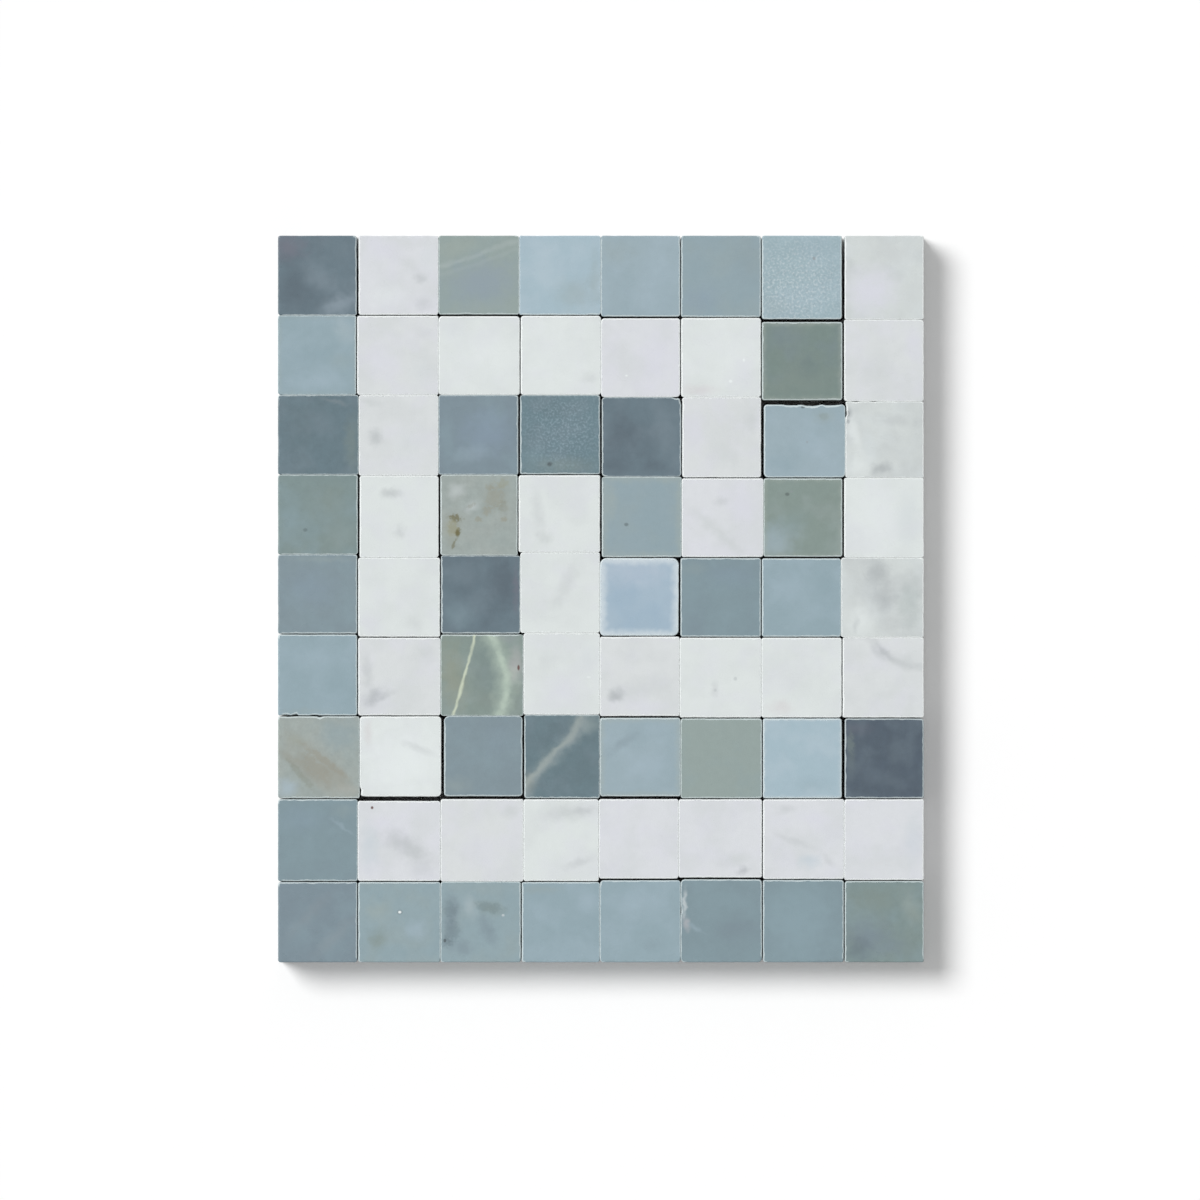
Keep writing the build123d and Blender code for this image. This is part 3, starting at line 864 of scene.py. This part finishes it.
    def finish(self, wear_and_highlight_colour, wear_and_highlight_strength, dull):
        """Pale arrises, partly wear and partly painted highlight, sawn sides, a glued back and a
        polished face.
        """
        worn = self.attribute("worn")
        face = self.rise(self.up, *self.FACING)
        back = self.rise(0 - self.up, *self.FACING)
        stretched = self.vector("MULTIPLY", self.cut_from, self.SAW_STRETCH)
        saw_lines = self.noise(stretched, 1.0, 3.0)
        sawn = self.shine(self.mix(0.3, self.colour, SAW_DUST), saw_lines * 0.24 + 0.86)
        smear = self.rise(self.noise(self.cut_from, self.GLUE_SMEARS, 3.0), 0.30, 0.72)
        sawn = self.mix(smear * back * 0.7, sawn, GLUE)
        chipped = self.noise(self.cut_from, self.CHIPPED_EDGES, 3.0)
        # The pale line along the arris: partly wear, partly painted highlight
        line = self.rise(worn + (chipped - 0.5) * 0.9, 0.2, 0.95)
        front = self.mix(line * wear_and_highlight_strength, self.colour, wear_and_highlight_colour)
        colour = self.mix((face + worn).smaller(1.0), sawn, front)
        waves = self.noise(self.cut_from, self.POLISH_WAVES)
        grit = self.noise(self.cut_from, self.GRIT, 3.0)
        rough = self.SAWN_ROUGHNESS - face * (self.POLISH - dull)
        rough = rough + (waves - 0.5) * self.POLISH_VARIES + line * self.WORN_ROUGHNESS
        height = waves * 0.2 + (1 - face) * (saw_lines + grit)
        height = height + self.fine * (dull * 3) + grit * 0.06
        return self.surface(colour, rough, height, self.RELIEF)


def solids_in(node):
    """The separate solids in a CAD node, each as its lowest and its highest corner."""
    mesh = bmesh.new()
    mesh.from_mesh(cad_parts[node].data)
    bmesh.ops.remove_doubles(mesh, verts=mesh.verts, dist=0.001 * MM)
    boxes = []
    left = set(mesh.verts)
    while left:
        reached = [left.pop()]
        for vertex in reached:
            beside = {edge.other_vert(vertex) for edge in vertex.link_edges} & left
            left -= beside
            reached.extend(beside)
        corners = [vertex.co for vertex in reached]
        low = Vector([min(corner[axis] for corner in corners) for axis in range(3)])
        high = Vector([max(corner[axis] for corner in corners) for axis in range(3)])
        boxes.append((low, high))
    mesh.free()
    return boxes


def find_chips():
    """Every chip's box and the CAD node that it is in, by row and column from the top left."""
    chips = {}
    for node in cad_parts:
        if node == "backing_mesh":
            continue
        for low, high in solids_in(node):
            middle = (low + high) / 2
            row = int((HIGH.y - middle.y) / ROW_PITCH)
            column = int((middle.x - LOW.x) / COLUMN_PITCH)
            chips[row, column] = ((low, high), node)
    return chips


def sides_of(chips, row, column):
    """A chip's right, top, left and bottom: place, how deep its arris is, and how pale."""
    low, high = chips[row, column][0]
    sides = {}
    for name, place, beside, axis, facing in (
        ("right", high.x, (row, column + 1), 0, 0),
        ("top", high.y, (row - 1, column), 1, 0),
        ("left", low.x, (row, column - 1), 0, 1),
        ("bottom", low.y, (row + 1, column), 1, 1),
    ):
        arris = ARRIS
        pale = 1.0
        if beside in chips:
            gap = chips[beside][0][facing][axis] - place
            if abs(gap) < CLOSED_JOINT:
                place += gap / 2 - math.copysign(CLOSED_GAP / 2, gap)
                arris = CLOSED_ARRIS
                pale = CLOSED_PALE
        elif name != "right":
            pale = OUTER_PALE
        sides[name] = (place, arris, pale)
    return sides


def direction(degrees):
    """The level direction that many degrees round from +X."""
    angle = math.radians(degrees)
    return Vector((math.cos(angle), math.sin(angle), 0))


def worn_point(point, middle, bites, seed):
    """A point of an outline, moved by waver and bites, with its arris and that one's margin."""
    place, out, arris, pale, radius = point
    wave = noise.noise(place / SIDE_WAVE + seed)
    grit = noise.noise(place / SIDE_GRIT + seed)
    inward = SIDE_WAVER * max(0.0, wave + GRIT_SHARE * grit) if arris == ARRIS else 0.0
    arris *= 1 + ARRIS_VARIES * grit
    to_middle = (middle - place).normalized()
    bitten = 0.0
    for x, y, width, depth in bites:
        away = (place - middle - Vector((x, y, 0)) * MM).length / (width * MM)
        bitten += max(0.0, 1 - away * away) * (1 + grit) * depth * MM
    place = place - out * inward + to_middle * (BITE_INWARD * bitten)
    arris = min(arris + BITE_ARRIS * bitten, CORNER_ARRIS * radius)
    margin = min(LINE_MARGIN, CORNER_MARGIN * radius)
    return place, out, arris, margin, pale


def outline_of(sides, key, lot, seed):
    """Points round a chip: place, outward direction, arris, its fading margin and paleness."""
    right, top, left, bottom = [sides[name][0] for name in ("right", "top", "left", "bottom")]
    middle = Vector(((left + right) / 2, (bottom + top) / 2, 0))
    # Each corner, the bearing of the side that leads up to it, and that side's name
    corners = [
        (Vector((right, top, 0)), 0, "right"),
        (Vector((left, top, 0)), 90, "top"),
        (Vector((left, bottom, 0)), 180, "left"),
        (Vector((right, bottom, 0)), 270, "bottom"),
    ]
    base = ROUNDED[key] * MM if key in ROUNDED else CORNER_ROUND
    radii = [base * lot.uniform(1 - CORNER_SPREAD, 1 + CORNER_SPREAD) for corner in corners]
    points = []
    for index, (corner, bearing, side) in enumerate(corners):
        previous = corners[index - 1][0]
        toward = (corner - previous).normalized()
        radius = radii[index]
        length = (corner - previous).length - radius - radii[index - 1]
        steps = round(length / OUTLINE_STEP)
        arris, pale = sides[side][1:]
        for step in range(1, steps):
            place = previous + toward * (radii[index - 1] + length * step / steps)
            points.append((place, direction(bearing), arris, pale, math.inf))
        inward_x = math.copysign(radius, middle.x - corner.x)
        inward_y = math.copysign(radius, middle.y - corner.y)
        pivot = corner + Vector((inward_x, inward_y, 0))
        for step in range(CORNER_STEPS + 1):
            out = direction(bearing + 90 * step / CORNER_STEPS)
            points.append((pivot + out * radius, out, arris, pale, radius))
    return [worn_point(point, middle, BITES.get(key, []), seed) for point in points]


def chip_mesh(name, ring, bottom, top, seed):
    """A chip's mesh: sawn sides, a rounded arris and a flat face, with the arris paleness noted,
    partly wear and partly painted highlight.
    """
    mesh = bmesh.new()
    worn = mesh.verts.layers.float.new("worn")
    levels = []

    def add_level(places, wear):
        level = [mesh.verts.new(place) for place in places]
        for vertex, amount in zip(level, wear):
            vertex[worn] = amount
        levels.append(level)

    outline, outward, arrises, margins, pales = zip(*ring)
    no_wear_or_highlight = [0.0] * len(ring)
    add_level([place + UP * bottom for place in outline], no_wear_or_highlight)
    shoulder = top - max(arrises) - SHOULDER
    for index in range(1, SAWN_LEVELS + 1):
        height = bottom + (shoulder - bottom) * index / SAWN_LEVELS
        places = []
        for place, out in zip(outline, outward):
            at = place + UP * height
            uneven = SAWN_WAVER * abs(noise.noise(at / SAWN_WAVE + seed))
            places.append(at - out * uneven)
        add_level(places, no_wear_or_highlight)
    for step in range(ARRIS_STEPS + 1):
        angle = math.pi / 2 * step / ARRIS_STEPS
        places = []
        for place, out, arris in zip(outline, outward, arrises):
            inset = arris * (1 - math.cos(angle))
            drop = arris * (1 - math.sin(angle))
            places.append(place - out * inset + UP * (top - drop))
        # The arris rings carry the paleness: partly wear, partly painted highlight
        add_level(places, pales if step else no_wear_or_highlight)
    places = []
    for place, out, arris, margin in zip(outline, outward, arrises, margins):
        places.append(place - out * (arris + margin) + UP * top)
    add_level(places, no_wear_or_highlight)
    for below, above in zip(levels, levels[1:]):
        for index in range(len(ring)):
            after = (index + 1) % len(ring)
            side = (below[index], below[after], above[after], above[index])
            mesh.faces.new(side).smooth = True
    mesh.faces.new(levels[-1]).smooth = True
    mesh.faces.new(reversed(levels[0]))
    for index in range(len(ring)):
        mesh.edges.get((levels[0][index - 1], levels[0][index])).smooth = False
    made = bpy.data.meshes.new(name)
    mesh.to_mesh(made)
    mesh.free()
    return made


def add_piece(name, mesh, material, node):
    """Shows a mesh in place of a CAD node."""
    piece = bpy.data.objects.new(name, mesh)
    bpy.context.scene.collection.objects.link(piece)
    mesh.materials.append(material)
    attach(piece, "root")
    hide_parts(node)


def cut_marble(name, key, box, seed):
    """The material of one chip, with the marks that its own piece of stone has."""
    low, high = box
    middle = (low + high) / 2
    middle.z = HIGH.z
    letter = LAYOUT[key[0]][key[1]]
    stone = Stone(name, middle, seed)
    stone.lay(MARBLES[letter])
    for mark in CLOUDS.get(key, []):
        stone.cloud(*mark)
    for mark in VEINS.get(key, []):
        stone.vein(*mark)
    for mark in STAINS.get(key, []):
        stone.stain(*mark)
    if key in BORDERS:
        half_width = (high.x - low.x) / 2 / MM
        half_height = (high.y - low.y) / 2 / MM
        stone.border(*BORDERS[key], half_width, half_height)
    if key in GRAINS:
        stone.grains(*GRAINS[key])
    for mark in SPOTS.get(key, []):
        stone.spot(*mark)
    # Pale arris colour: partly wear, partly painted highlight
    edge = WHITE_EDGE_WEAR_AND_HIGHLIGHT if letter.islower() else GREY_EDGE_WEAR_AND_HIGHLIGHT
    return stone.finish(*edge, COARSE_DULLNESS if key in GRAINS else 0.0)


def make_chips():
    """All chips, each with its own wear and its own marble."""
    chips = find_chips()
    for key, (box, node) in sorted(chips.items()):
        row, column = key
        name = f"chip_{row + 1}_{column + 1}"
        lot = random.Random(row * COLUMNS + column)
        seed = Vector([lot.uniform(20, 400) for axis in range(3)])
        top = box[1].z - lot.uniform(0, HEIGHT_WAVER)
        ring = outline_of(sides_of(chips, row, column), key, lot, seed)
        mesh = chip_mesh(name, ring, box[0].z, top, seed)
        material = cut_marble(name, key, box, seed)
        slot = "white_marble" if LAYOUT[row][column].islower() else "grey_marble"
        add_piece(name, mesh, material, node)


def yarn_places(low, high):
    """Places of parallel yarns, evenly about the middle of a span."""
    count = int((high - low - YARN_WIDTH) / YARN_SPACING) + 1
    middle = (low + high) / 2
    return [middle + (index - (count - 1) / 2) * YARN_SPACING for index in range(count)]


def steps_along(low, high):
    """Even steps along a yarn, from end to end."""
    count = round((high - low) / (YARN_SPACING / YARN_STEPS))
    return [low + (high - low) * index / count for index in range(count + 1)]


def sway(x, y, layer):
    """How far a yarn strays sideways at a place."""
    return YARN_SWAY * noise.noise(Vector((x, y, layer)) / SWAY_LENGTH)


def add_yarn(mesh, around, path, across, section):
    """A yarn with an oval section along a path, closed at both ends."""
    width, thickness, sides = section
    rings = []
    for place, share in path:
        ring = []
        for index in range(sides):
            angle = math.tau * index / sides
            sideways = across * (math.cos(angle) * width * share / 2)
            upward = UP * (math.sin(angle) * thickness / 2)
            vertex = mesh.verts.new(place + (sideways + upward))
            vertex[around] = index / sides
            ring.append(vertex)
        rings.append(ring)
    for before, after in zip(rings, rings[1:]):
        for index in range(sides):
            following = (index + 1) % sides
            side = (before[index], before[following], after[following], after[index])
            mesh.faces.new(side).smooth = True
    mesh.faces.new(rings[0])
    mesh.faces.new(reversed(rings[-1]))


def make_net():
    """The glass-fibre net: flat weft yarns, held by warp pairs that twist round them."""
    low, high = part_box("backing_mesh")
    middle_height = (low.z + high.z) / 2
    columns = yarn_places(low.x, high.x)
    rows = yarn_places(low.y, high.y)
    mesh = bmesh.new()
    around = mesh.verts.layers.float.new("round")
    for y in rows:
        path = []
        for x in steps_along(low.x, high.x):
            spacings = (x - columns[0]) / YARN_SPACING
            from_crossing = abs(spacings - round(spacings))
            place = Vector((x, y + sway(x, y, WEFT_LAYER), middle_height))
            path.append((place, WEFT_HELD + WEFT_SPREAD * from_crossing))
        add_yarn(mesh, around, path, Vector((0, -1, 0)), WEFT_SECTION)
    for x in columns:
        for hand in (1, -1):
            path = []
            for y in steps_along(low.y, high.y):
                turn = math.pi * (y - rows[0]) / YARN_SPACING
                aside = hand * STRAND_APART * math.sin(turn) + sway(x, y, WARP_LAYER)
                rise = hand * STRAND_RISE * math.cos(turn)
                path.append((Vector((x + aside, y, middle_height + rise)), 1.0))
            add_yarn(mesh, around, path, Vector((1, 0, 0)), STRAND_SECTION)
    made = bpy.data.meshes.new("net")
    mesh.to_mesh(made)
    mesh.free()
    add_piece("net", made, glass_yarn(), "backing_mesh")


def glass_yarn():
    """White glass fibres in resin, lying along the yarn."""
    recipe = Recipe(bpy.data.materials.new("glass_yarn"))
    metres = recipe.node("TexCoord").outputs["Object"]
    place = recipe.vector("MULTIPLY", metres, PER_MM)
    fibre = recipe.attribute("round") * FIBRES_ROUND
    fibres = recipe.node("CombineXYZ", None, {0: fibre, 1: recipe.noise(place, 6.0), 2: 0.0})
    strands = recipe.noise(fibres.outputs[0], 1.0)
    resin = recipe.rise(recipe.noise(place, 1.8), 0.40, 0.65)
    colour = recipe.mix(strands, GLASS, GLASS_SHADE)
    colour = recipe.mix(resin * RESIN_STRENGTH, colour, RESIN)
    rough = YARN_ROUGHNESS - resin * RESIN_SMOOTHING
    return recipe.surface(colour, rough, strands, YARN_RELIEF)


def seen_ray(recipe):
    """1 for what the camera sees, itself or by a reflection, and 0 for what lights things."""
    path = recipe.node("LightPath")
    seen = Value(recipe, path.outputs["Is Camera Ray"])
    for kind in ("Is Glossy Ray", "Is Transmission Ray"):
        seen = seen.larger(Value(recipe, path.outputs[kind]))
    return seen


def make_floor():
    """A white floor that keeps the tile's shadow and stays dark under the tile."""
    bpy.ops.mesh.primitive_grid_add(size=FLOOR_SIZE)
    floor = bpy.context.object
    floor.name = "floor"
    recipe = Recipe(bpy.data.materials.new("floor_white"))
    place = recipe.node("NewGeometry").outputs["Position"]
    beside = abs(recipe.part(place, "X") - MIDDLE.x) - (HIGH.x - MIDDLE.x)
    above = abs(recipe.part(place, "Y") - MIDDLE.y) - (HIGH.y - MIDDLE.y)
    clear = recipe.rise(beside.larger(above), -FLOOR_FADE, 0.0)
    white = (FLOOR_WHITE, FLOOR_WHITE, FLOOR_WHITE, 1.0)
    matt = recipe.node("BsdfDiffuse", None, {"Color": white})
    strength = seen_ray(recipe) * clear * FLOOR_LIFT
    lift = recipe.node("Emission", None, {"Strength": strength})
    both = recipe.node("AddShader", None, {0: matt.outputs[0], 1: lift.outputs[0]})
    recipe.node("OutputMaterial", None, {0: both.outputs[0]})
    floor.data.materials.append(recipe.holder)


def make_light():
    """One wide lamp from the upper left, and an even sky that is white where it is seen."""
    lamp = bpy.data.lights.new("studio_lamp", "SUN")
    toward = Vector((-SHADOW_RIGHT, SHADOW_DOWN, 1.0)).normalized()
    lamp.angle = LAMP_ANGLE
    lamp.energy = LAMP_SHARE * math.pi / toward.z
    holder = bpy.data.objects.new("studio_lamp", lamp)
    holder.rotation_mode = "QUATERNION"
    holder.rotation_quaternion = toward.to_track_quat("Z", "Y")
    bpy.context.scene.collection.objects.link(holder)
    recipe = Recipe(bpy.data.worlds.new("sky"))
    strength = seen_ray(recipe) * (1 - SKY_SHARE) + SKY_SHARE
    sky = recipe.node("Background", None, {"Color": (1, 1, 1, 1), "Strength": strength})
    recipe.node("OutputWorld", None, {0: sky.outputs[0]})
    bpy.context.scene.world = recipe.holder


def make_camera():
    """A camera straight above, framed as the photograph is."""
    data = bpy.data.cameras.new("camera")
    camera = bpy.data.objects.new("camera", data)
    pixel = MM / PHOTO_PIXELS_PER_MM
    distance = CAMERA_HEIGHT - HIGH.z
    data.lens = data.sensor_width * distance / (PHOTO_SIZE * pixel)
    camera.location = (
        MIDDLE.x + (PHOTO_SIZE / 2 - PHOTO_MIDDLE_X) * pixel,
        MIDDLE.y - (PHOTO_SIZE / 2 - PHOTO_MIDDLE_Y) * pixel,
        CAMERA_HEIGHT,
    )
    bpy.context.scene.collection.objects.link(camera)
    bpy.context.scene.camera = camera
    bpy.context.scene.view_settings.view_transform = "Standard"


make_camera()
make_light()
make_floor()
make_chips()
make_net()
